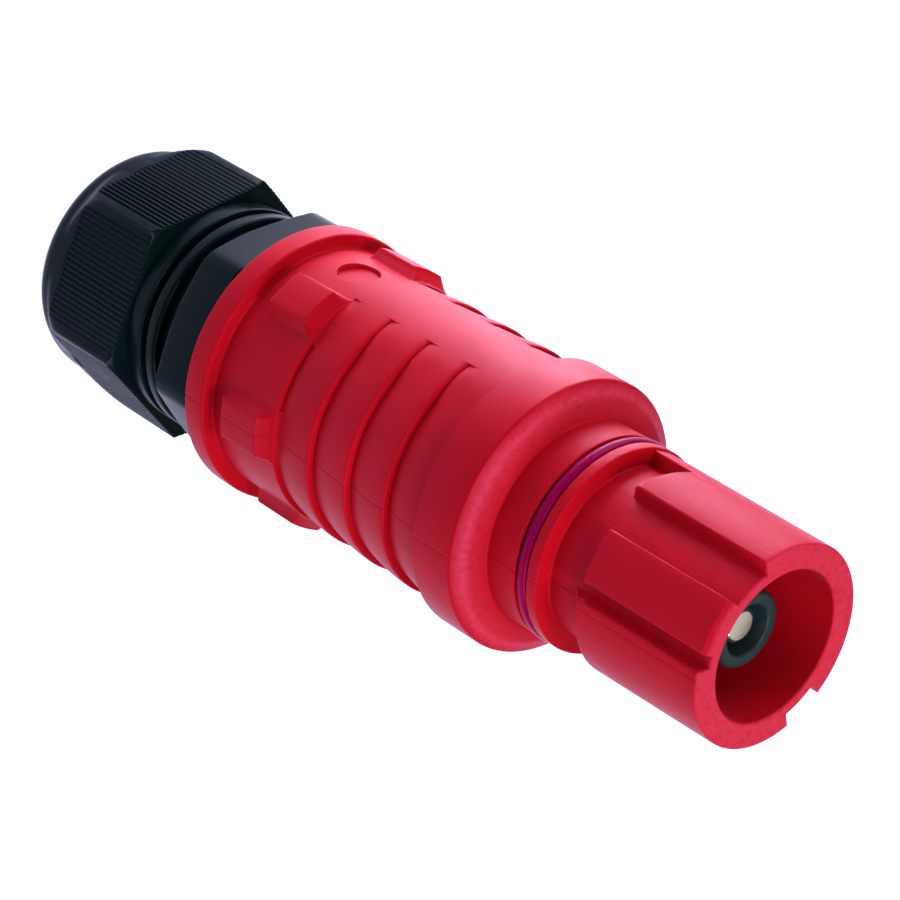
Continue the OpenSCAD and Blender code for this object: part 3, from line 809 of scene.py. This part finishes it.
    def swollen(self, skin: Skin) -> np.ndarray:
        """Radii with the grip steps swelled near the panel, so that they come up flush with it."""
        place = (skin.heights - self.grip_start) / self.grip_pitch
        share = place - np.floor(place)
        turn = angle_from(skin.angles, 0)
        away = np.abs(turn) - self.panel_half_angle
        near = smooth_step(
            np.where(
                turn < 0,
                1 - (away - self.panel_margin) / self.panel_blend,
                1 - away / self.panel_blend_far,
            )
        )
        gain = self.step_radius(share, self.flush_power) - self.step_radius(share)
        flat = np.clip(share * self.flush_start, 0, 1) * np.clip((1 - share) * self.flush_end, 0, 1)
        gain = gain + (self.panel_r - self.crest_r) * flat
        depth = self.crest_r - self.groove_edge - skin.radii - gain
        gain = gain + self.groove_rise * np.clip(depth / self.groove_reach, 0, 1)
        on_grip = (place > 0) & (skin.heights < self.swell_end() - self.swell_gap)
        return skin.radii + np.where(on_grip, gain * near, 0)

    def lug_surface(self, skin: Skin) -> np.ndarray:
        """Radius of the coupling lugs, far below the floor between them."""
        pitch = 360 / self.lug_count
        turn = np.abs(angle_from(skin.angles % pitch, pitch / 2))
        side = self.lug_side.drop(along(self.lug_r, self.lug_half_angle - turn))
        rear = self.lug_end.drop(skin.heights - self.lug_rear)
        front = self.lug_slope.drop(self.lug_front - skin.heights)
        return self.lug_r - np.maximum(side, np.maximum(rear, front))

    def pad_surface(self, skin: Skin) -> np.ndarray:
        """Radius of the pads in front of the channel, of its stop and of the coding pad."""
        heights = skin.heights
        share = (heights - self.lip_front) / (self.front_z - self.lip_front)
        top = self.pad_r + (self.front_r - self.pad_r) * share
        front = self.pad_front.drop(self.front_z - heights)
        share = (angle_from(skin.angles, 0) - self.slot[1]) / (self.stop_angle - self.slot[1])
        slope = np.where(share < self.steep_from, self.pad_slope, self.pad_steep)
        slope = np.where(share > 0, slope + (self.pad_slope - slope) * np.clip(share, 0, 1), slope)
        rear = self.pad_rear.drop((heights - self.pad_z - slope) * self.pad_slope / slope)
        surface = np.zeros_like(heights)
        for start, end in self.pads():
            side = self.sector_drop(skin, start, end)
            surface = np.maximum(surface, top - np.maximum(np.maximum(side, rear), front))
        stop = self.sector_drop(skin, self.stop_angle, self.notch[0])
        surface = np.maximum(surface, top - np.maximum(stop, front))
        bevel = np.clip(self.coding_bevel - (self.front_z - heights), 0, None)
        coding = np.maximum(
            self.sector_drop(skin, *self.coding),
            self.coding_rear.drop(heights - self.pad_z - self.coding_slope),
        )
        surface = np.maximum(surface, self.coding_r - np.maximum(coding, bevel))
        return np.where(heights > self.lip_front - 1, surface, 0)

    def sector_drop(self, skin: Skin, start: float, end: float) -> np.ndarray:
        """Drop at the side walls of a form that stands between two angles."""
        away = np.abs(angle_from(skin.angles, (start + end) / 2))
        return self.pad_side.drop(along(self.pad_r, (end - start) / 2 - away))

    def sink_recess(self, skin: Skin) -> None:
        """Draws the square patch of the grid in to a circle and sinks the round recess."""
        across = along(self.floor_r, angle_from(skin.angles, 0)) / self.recess_r
        up = (skin.heights - self.recess_z) / self.recess_r
        ring = np.maximum(np.maximum(np.abs(across), np.abs(up)), 1e-6)
        limit = self.patch_lines()[-1]
        square_x = across / ring
        square_y = up / ring
        blend = np.clip((limit - ring) / (limit - 1), 0, 1)
        new_x = across + blend * (ring * square_x * np.sqrt(1 - square_y**2 / 2) - across)
        new_y = up + blend * (ring * square_y * np.sqrt(1 - square_x**2 / 2) - up)
        skin.angles = np.where(blend > 0, around(self.floor_r, new_x * self.recess_r), skin.angles)
        skin.heights = np.where(blend > 0, new_y * self.recess_r + self.recess_z, skin.heights)
        depth = smooth_step((1 - ring) * self.recess_r / self.recess_wall)
        plane = self.recess_plane / np.cos(np.radians(np.where(depth > 0, skin.angles, 0)))
        skin.radii = skin.radii - depth * np.clip(skin.radii - plane, 0, None)

    def build(self) -> Object:
        """Builds the skin of the shell and lets it stand for the solid."""
        skin = Skin.spun(self.columns(), self.rows())
        skin.radii = self.raised(skin)
        for seam in (self.parting_angle, self.parting_angle + 180):
            away = along(self.floor_r, angle_from(skin.angles, seam)) / self.parting_w
            skin.radii = skin.radii - self.parting_depth * np.exp(-(away**2))
        self.sink_recess(skin)
        inner = self.inside()
        bore = Skin.spun(self.columns(), np.concatenate((((0, self.front_z),), inner)))
        bore.radii[:, 0] = (skin.radii[:, -1] + inner[0, 0]) / 2
        piece = skin.joined(bore).build("shell_moulding")
        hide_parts("shell")
        return piece


@dataclass
class Hexagon:
    """Six-sided form round the axis, with blunt corners."""

    across: float
    turn: float
    corner_r: float
    blend: float = 0.6

    def sides(self) -> list[float]:
        """Angle of the middle of each flat."""
        return [self.turn + 60 * side for side in range(6)]

    def offset(self, angles: np.ndarray) -> np.ndarray:
        """Angle from the middle of the nearest flat."""
        return (angles - self.turn + 30) % 60 - 30

    def radius(self, angles: np.ndarray, limit: np.ndarray, sunk: np.ndarray | float = 0.0) -> np.ndarray:
        """Radius of the form.

        Args:
            angles: angle of each point.
            limit: largest radius there.
            sunk: depth below the flat there.

        Returns:
            Radius of each point.
        """
        flat = (self.across / 2 - sunk) / np.cos(np.radians(self.offset(angles)))
        return -smooth_max(-flat, -np.minimum(limit, self.corner_r), self.blend)


@dataclass
class GlandNut:
    """Domed hexagon nut of the cable gland, with fine ribs on its flats."""

    hexagon: Hexagon = field(default_factory=lambda: Hexagon(55.0, -9.0, 31.6))
    dome_r: float = 27.7
    shoulder_r: float = 7.5
    rim_r: float = 14.5
    rim_t: float = 4.6
    corner_z: float = 5.5
    corner_l: float = 9.3
    rib_z: float = 9.2
    front_z: float = 33.4
    front_bevel: float = 0.8
    lip_r: float = 26.4
    lip_z: float = 37.8
    thread_r: float = 23.75
    thread_low: float = 25.0
    cone_r: float = 19.95
    cone_top: float = 22.0
    cone_low: float = 13.0
    slip_r: float = 17.7
    rib_count: int = 21
    rib_pitch: float = 1.25
    rib_h: float = 0.4
    groove_floor: float = 0.16
    groove_top: float = 0.4
    rib_fade: float = 0.9
    edge: Wall = Wall(0.35, 0.1, 2.0)

    def outside(self) -> np.ndarray:
        """Outline of the dome and the lip."""
        corners = [
            Corner(self.rim_r + 1, 0),
            Corner(self.dome_r, 0, self.shoulder_r),
            Corner(self.dome_r, self.rib_z, 0.3),
            Corner(self.lip_r, self.rib_z),
            Corner(self.lip_r, self.lip_z, 0.6),
            Corner(self.thread_r + 0.4, self.lip_z, 0.3),
        ]
        return rounded(corners, closed=False, steps=9)

    def inside(self) -> np.ndarray:
        """Outline of the thread, the closing cone and the rear rim."""
        corners = [
            Corner(self.thread_r, self.lip_z - 0.4),
            Corner(self.thread_r, self.thread_low),
            Corner(self.cone_r, self.cone_top),
            Corner(self.cone_r, self.cone_low),
            Corner(self.slip_r, self.rim_t + 2),
            Corner(self.slip_r, self.rim_t),
            Corner(self.rim_r, self.rim_t, 0.3),
            Corner(self.rim_r, 1.0, 0.3),
        ]
        return rounded(corners, closed=False)

    def columns(self) -> np.ndarray:
        """Angles of the columns: the sides of every groove, and each corner."""
        span = (self.rib_count + 1) * self.rib_pitch / 2
        side = (self.groove_floor + self.groove_top) / 2
        steps = (-self.groove_top, -side, -self.groove_floor, self.groove_floor, side, self.groove_top)
        places = [0.0]
        for groove in range(self.rib_count + 1):
            middle = (groove + 0.5) * self.rib_pitch - span
            places += [middle + step for step in steps] + [middle + self.rib_pitch / 2]
        half = self.hexagon.across / 2
        for turn in (27, 28, 28.8, 29.4, 29.8):
            place = half * math.tan(math.radians(turn))
            places += [-place, place]
        offsets = np.degrees(np.arctan(np.array(places) / half))
        angles = [side + offset for side in self.hexagon.sides() for offset in (*offsets, 30.0)]
        return thinned(np.array(angles) % 360, 0.02)

    def groove(self, skin: Skin) -> np.ndarray:
        """Depth of the grooves between the ribs."""
        place = self.hexagon.across / 2 * np.tan(np.radians(self.hexagon.offset(skin.angles)))
        span = (self.rib_count + 1) * self.rib_pitch / 2
        away = np.abs((place + span) % self.rib_pitch - self.rib_pitch / 2)
        share = smooth_step((self.groove_top - away) / (self.groove_top - self.groove_floor))
        fade = np.clip((skin.heights - self.rib_z) / self.rib_fade, 0, 1)
        return self.rib_h * share * (np.abs(place) < span) * np.sqrt(fade * (2 - fade))

    def build(self) -> Object:
        """Builds the skin of the nut and lets it stand for the solid."""
        top = self.corner_z + self.corner_l
        heights = list(np.linspace(self.corner_z, top, 9)) + list(self.front_z - self.edge.knots()[4:])
        heights += list(self.rib_z + self.rib_fade * np.array((0.03, 0.1, 0.25, 0.5, 1.0)))
        heights += [self.front_z - self.front_bevel, self.front_z + 0.01]
        skin = Skin.spun(self.columns(), with_heights(self.outside(), thinned(heights, 0.008)))
        rise = np.clip((top - skin.heights) / self.corner_l, 0, 1)
        limit = self.hexagon.corner_r - (self.hexagon.corner_r - self.dome_r) * rise**2
        limit = limit - 2 * np.clip(skin.heights - self.front_z + self.front_bevel, 0, None)
        block = self.hexagon.radius(skin.angles, limit, self.groove(skin))
        skin.raise_to(block - self.edge.drop(self.front_z - skin.heights), self.corner_z, self.front_z)
        piece = skin.joined(Skin.spun(self.columns(), self.inside())).build("gland_nut_moulding")
        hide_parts("gland_nut")
        return piece


@dataclass
class GlandBody:
    """Body of the cable gland: clamping fingers, rounded collar, hexagon and shell thread."""

    hexagon: Hexagon = field(default_factory=lambda: Hexagon(54.0, -5.0, 30.3))
    bore_r: float = 17.6
    finger_r: float = 19.8
    finger_z: float = 9.0
    finger_taper: float = 2.0
    finger_taper_l: float = 4.5
    finger_root: float = 26.0
    finger_count: int = 12
    finger_slot: float = 1.6
    thread_r: float = 23.6
    collar_r: float = 26.4
    collar_low: float = 39.3
    collar_w: float = 3.8
    neck_r: float = 24.0
    hex_z: float = 47.3
    hex_top: float = 59.5
    bevel: float = 1.8
    end_z: float = 78.5
    edge: Wall = Wall(0.3, 0.1, 2.0)

    def outside(self) -> np.ndarray:
        """Outline of fingers, nut thread, collar, neck and shell thread."""
        collar_top = self.collar_low + self.collar_w
        reach = self.collar_w / 2
        corners = [
            Corner(self.bore_r, self.finger_z),
            Corner(self.finger_r - self.finger_taper, self.finger_z),
            Corner(self.finger_r, self.finger_z + self.finger_taper_l),
            Corner(self.finger_r, self.finger_root),
            Corner(self.thread_r - 1.5, self.finger_root),
            Corner(self.thread_r, self.finger_root + 1.5),
            Corner(self.thread_r, self.collar_low),
            Corner(self.collar_r, self.collar_low, reach),
            Corner(self.collar_r, collar_top, reach),
            Corner(self.neck_r, collar_top, 0.4),
            Corner(self.neck_r, self.end_z, 0.5),
            Corner(self.bore_r, self.end_z),
        ]
        return rounded(corners, closed=False, steps=7)

    def build(self) -> Object:
        """Builds the skin of the body, slots its fingers and lets it stand for the solid."""
        knots = self.edge.knots()[4:]
        heights = list(self.hex_z + knots) + list(self.hex_top - knots)
        heights += [self.hex_z + self.bevel * share for share in (0.25, 0.5, 0.75, 1.0, 1.25)]
        heights += [self.hex_z - 0.01, self.hex_top + 0.01]
        near = np.array((-30, -29.7, -29, -28, -27, -25.5, -24, -22, -19, -16, -12, -8, -4))
        offsets = np.concatenate((near, (0,), -near[1:]))
        columns = np.sort(np.concatenate([side + offsets for side in self.hexagon.sides()]) % 360)
        skin = Skin.spun(columns, with_heights(self.outside(), thinned(heights, 0.008)))
        limit = self.hexagon.corner_r - 2 * np.clip(self.hex_z + self.bevel - skin.heights, 0, None)
        rear = self.edge.drop(skin.heights - self.hex_z)
        front = self.edge.drop(self.hex_top - skin.heights)
        block = self.hexagon.radius(skin.angles, limit) - np.maximum(rear, front)
        skin.raise_to(block, self.hex_z, self.hex_top)
        piece = skin.build("gland_body_moulding")
        cut_away(piece, self.finger_slots())
        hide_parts("gland_body")
        return piece

    def finger_slots(self) -> Object:
        """One object with the bars that slot the clamping fingers."""
        work = bmesh.new()
        low = self.finger_z - OVERCUT
        size = Vector((self.finger_r, self.finger_slot, self.finger_root - OVERCUT - low))
        place = Vector((self.bore_r - OVERCUT + size.x / 2, 0, low + size.z / 2))
        bar = Matrix.Translation(place * MM) @ Matrix.Diagonal((*size * MM, 1))
        for finger in range(self.finger_count):
            turn = Matrix.Rotation(math.tau * finger / self.finger_count, 4, "Z")
            bmesh.ops.create_cube(work, size=1, matrix=turn @ bar)
        return as_cutter(work)


@dataclass
class ContactSet:
    """Contact with its pin and barrel, the guard tube round the pin, and the ring on the spigot."""

    pin_r: float = 4.0
    pin_tip: float = 196.6
    pin_root: float = 172.6
    pin_bevel: float = 0.8
    shank_r: float = 5.45
    flange_r: float = 15.5
    flange_top: float = 135.9
    flange_low: float = 131.9
    barrel_r: float = 11.0
    barrel_z: float = 75.9
    bore_r: float = 7.25
    bore_l: float = 40.0
    screw_r: float = 4.0
    screw_z: float = 81.9
    screw_pitch: float = 11.0
    hole_middle: float = 0.75
    hole_length: float = 1.2
    guard_r: float = 8.4
    guard_bore: float = 5.55
    guard_front: float = 198.4
    guard_flange_top: float = 139.9
    ring_r: float = 21.7
    ring_half: float = 1.45
    ring_z: float = 157.85

    def build_contact(self) -> Object:
        """Builds the silvered contact with its conductor bore and two screw holes."""
        corners = [
            Corner(0, self.barrel_z + self.bore_l + self.bore_r / 2),
            Corner(self.bore_r, self.barrel_z + self.bore_l),
            Corner(self.bore_r, self.barrel_z, 0.8),
            Corner(self.barrel_r, self.barrel_z, 1.0),
            Corner(self.barrel_r, self.flange_low, 0.3),
            Corner(self.flange_r, self.flange_low, 0.4),
            Corner(self.flange_r, self.flange_top, 0.4),
            Corner(self.shank_r, self.flange_top),
            Corner(self.shank_r, self.pin_root, 0.4),
            Corner(self.pin_r, self.pin_root, 0.3),
            Corner(self.pin_r, self.pin_tip - self.pin_bevel, 0.3),
            Corner(self.pin_r - self.pin_bevel, self.pin_tip, 0.3),
            Corner(0, self.pin_tip),
        ]
        piece = turned("contact_turning", corners, 128)
        cut_away(piece, self.screw_holes())
        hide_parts("contact")
        return piece

    def screw_holes(self) -> Object:
        """One object with the two round bars that cut the screw holes."""
        work = bmesh.new()
        for index in range(2):
            made = bmesh.ops.create_cone(
                work,
                cap_ends=True,
                segments=48,
                radius1=self.screw_r * MM,
                radius2=self.screw_r * MM,
                depth=self.barrel_r * self.hole_length * MM,
            )
            height = self.screw_z + index * self.screw_pitch
            for corner in made["verts"]:
                x, y, z = corner.co
                corner.co = (x, self.barrel_r * self.hole_middle * MM + z, height * MM + y)
        bmesh.ops.recalc_face_normals(work, faces=work.faces)
        return as_cutter(work)

    def build_guard(self) -> Object:
        """Builds the dark tube that keeps fingers off the pin."""
        piece = turned(
            "guard_tube",
            [
                Corner(self.guard_bore, self.flange_top),
                Corner(self.flange_r, self.flange_top, 0.4),
                Corner(self.flange_r, self.guard_flange_top, 0.4),
                Corner(self.guard_r, self.guard_flange_top, 0.3),
                Corner(self.guard_r, self.guard_front, 0.9),
                Corner(self.guard_bore, self.guard_front, 0.5),
            ],
        )
        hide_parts("contact_guard")
        return piece

    def build_ring(self) -> Object:
        """Builds the sealing ring in the groove of the spigot."""
        half = self.ring_half
        section = (self.ring_r - half, self.ring_r + half, self.ring_z - half, self.ring_z + half)
        piece = turned("spigot_seal_ring", ring_corners(*section, [half] * 4), 240)
        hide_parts("spigot_o_ring")
        return piece


@dataclass
class GlandSeals:
    """Soft and loose rings of the cable gland."""

    bush_r: float = 17.5
    bush_bore: float = 13.0
    bush_z: float = 6.6
    bush_l: float = 17.0
    slip_r: float = 17.3
    slip_bore: float = 14.5
    slip_z: float = 4.6
    slip_t: float = 1.9
    gasket_r: float = 26.0
    gasket_bore: float = 24.1
    gasket_z: float = 59.5
    gasket_t: float = 1.4

    def build_bush(self) -> Object:
        """Builds the seal bush that grips the cable."""
        section = (self.bush_bore, self.bush_r, self.bush_z, self.bush_z + self.bush_l)
        piece = turned("seal_bush", ring_corners(*section, (1.0, 2.0, 0.6, 1.0)))
        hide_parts("gland_seal")
        return piece

    def build_slip(self) -> Object:
        """Builds the slip ring between the rim of the nut and the bush."""
        section = (self.slip_bore, self.slip_r, self.slip_z, self.slip_z + self.slip_t)
        piece = turned("slip_washer", ring_corners(*section, [0.3] * 4))
        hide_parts("slip_ring")
        return piece

    def build_gasket(self) -> Object:
        """Builds the gasket between the gland body and the shell."""
        section = (self.gasket_bore, self.gasket_r, self.gasket_z, self.gasket_z + self.gasket_t)
        piece = turned("seat_gasket", ring_corners(*section, (0.0, 0.4, 0.4, 0.0)))
        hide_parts("gland_gasket")
        return piece


@dataclass(frozen=True)
class Lamp:
    """Soft rectangular lamp that points at the object."""

    name: str
    place: Triple
    size: float
    power: float
    target: Triple = (0.0, 0.0, 0.11)
    spread: float = 180.0
    tint: Triple = (1.0, 1.0, 1.0)

    def build(self) -> None:
        """Hangs the lamp at its place, in metres, and turns it to its target."""
        light = bpy.data.lights.new(self.name, "AREA")
        light.shape = "DISK"
        light.size = self.size
        light.energy = self.power
        light.spread = math.radians(self.spread)
        light.color = self.tint
        lamp = bpy.data.objects.new(self.name, light)
        lamp.location = self.place
        lamp.rotation_euler = (Vector(self.target) - Vector(self.place)).to_track_quat("-Z", "Y").to_euler()
        bpy.context.scene.collection.objects.link(lamp)


@dataclass
class Studio:
    """Pale floor, soft lamps and the camera at the photograph's angle."""

    camera_place: Triple = (413.93, -321.45, 536.45)
    camera_aim: Triple = (-0.05, -0.06, 111.43)
    camera_roll: float = 121.126
    focal_length: float = 128.0
    sensor: float = 36.0
    floor_reach: float = 4.0
    floor_tint: Triple = (0.2, 0.2, 0.2)
    floor_glow: Triple = (0.95, 0.95, 1.4)
    sky: float = 0.08
    lamps: tuple[Lamp, ...] = (
        Lamp("key", (-0.45, -0.75, 0.4), 0.5, 5.5, tint=(0.95, 0.9, 1.15)),
        Lamp("bounce", (-0.2, -0.24, 0.4), 0.1, 9.0, (-0.15, -0.18, 0.0), 42.0, (1.0, 0.9, 1.2)),
        Lamp("front", (0.4, 0.45, 0.85), 0.6, 8.0, tint=(0.95, 0.9, 1.15)),
        Lamp("rim", (-0.6, 0.47, 0.85), 0.8, 1.0),
        Lamp("top", (0.25, -0.2, 1.1), 0.3, 6.0),
    )

    def build(self) -> None:
        """Builds floor, lamps, surroundings and camera."""
        self.build_floor()
        for lamp in self.lamps:
            lamp.build()
        world = bpy.data.worlds.new("surroundings")
        world.use_nodes = True
        world.node_tree.nodes["Background"].inputs["Color"].default_value = (1, 1, 1, 1)
        world.node_tree.nodes["Background"].inputs["Strength"].default_value = self.sky
        bpy.context.scene.world = world
        bpy.context.scene.view_settings.view_transform = "Standard"
        self.build_camera()

    def build_floor(self) -> None:
        """Lays the pale floor under the object."""
        reach = self.floor_reach
        mesh = bpy.data.meshes.new("studio_floor")
        corners = [(-reach, -reach, 0), (reach, -reach, 0), (reach, reach, 0), (-reach, reach, 0)]
        mesh.from_pydata(corners, [], [(0, 1, 2, 3)])
        material = bpy.data.materials.new("studio_floor")
        material.use_nodes = True
        values = {
            "Base Color": (*self.floor_tint, 1),
            "Roughness": 0.9,
            "Emission Color": (*self.floor_glow, 1),
            "Emission Strength": 1.0,
        }
        set_inputs(material.node_tree.nodes["Principled BSDF"], values)
        mesh.materials.append(material)
        floor = bpy.data.objects.new("studio_floor", mesh)
        bpy.context.scene.collection.objects.link(floor)

    def build_camera(self) -> None:
        """Sets the camera up at the photograph's place, angle and roll."""
        lens = bpy.data.cameras.new("camera")
        lens.lens = self.focal_length
        lens.sensor_width = self.sensor
        lens.clip_start = 0.01
        camera = bpy.data.objects.new("camera", lens)
        place = Vector(self.camera_place) * MM
        look = (Vector(self.camera_aim) * MM - place).to_track_quat("-Z", "Y").to_matrix()
        roll = math.radians(self.camera_roll)
        side = look.col[0] * math.cos(roll) + look.col[1] * math.sin(roll)
        back = look.col[2]
        turn = Matrix((side, back.cross(side), back)).transposed()
        camera.matrix_world = Matrix.Translation(place) @ turn.to_4x4()
        bpy.context.scene.collection.objects.link(camera)
        bpy.context.scene.camera = camera


HIDDEN_SOLIDS = {
    "guard_seal": "black_rubber",
    "contact_seal": "black_rubber",
    "contact_carrier": "natural_nylon",
    "locating_pin": "steel",
    "retaining_ring": "steel",
    "set_screws": "steel",
}


def main() -> None:
    """Builds and dresses the connector, then the studio."""
    logging.basicConfig(level=logging.INFO, format="%(name)s %(message)s")
    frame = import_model()
    wardrobe = Wardrobe(FINISHES)
    contacts = ContactSet()
    seals = GlandSeals()
    pieces = (
        (Shell().build(), "red_nylon"),
        (contacts.build_ring(), "seal_rubber"),
        (contacts.build_contact(), "silvered_brass"),
        (contacts.build_guard(), "dark_plastic"),
        (GlandNut().build(), "black_nylon"),
        (GlandBody().build(), "black_nylon"),
        (seals.build_gasket(), "black_rubber"),
        (seals.build_bush(), "black_rubber"),
        (seals.build_slip(), "natural_nylon"),
    )
    for piece, slot in pieces:
        wardrobe.dress(piece, slot)
    for name, slot in HIDDEN_SOLIDS.items():
        wardrobe.dress(frame["nodes"][name], slot)
    Studio().build()


if __name__ == "__main__":
    main()
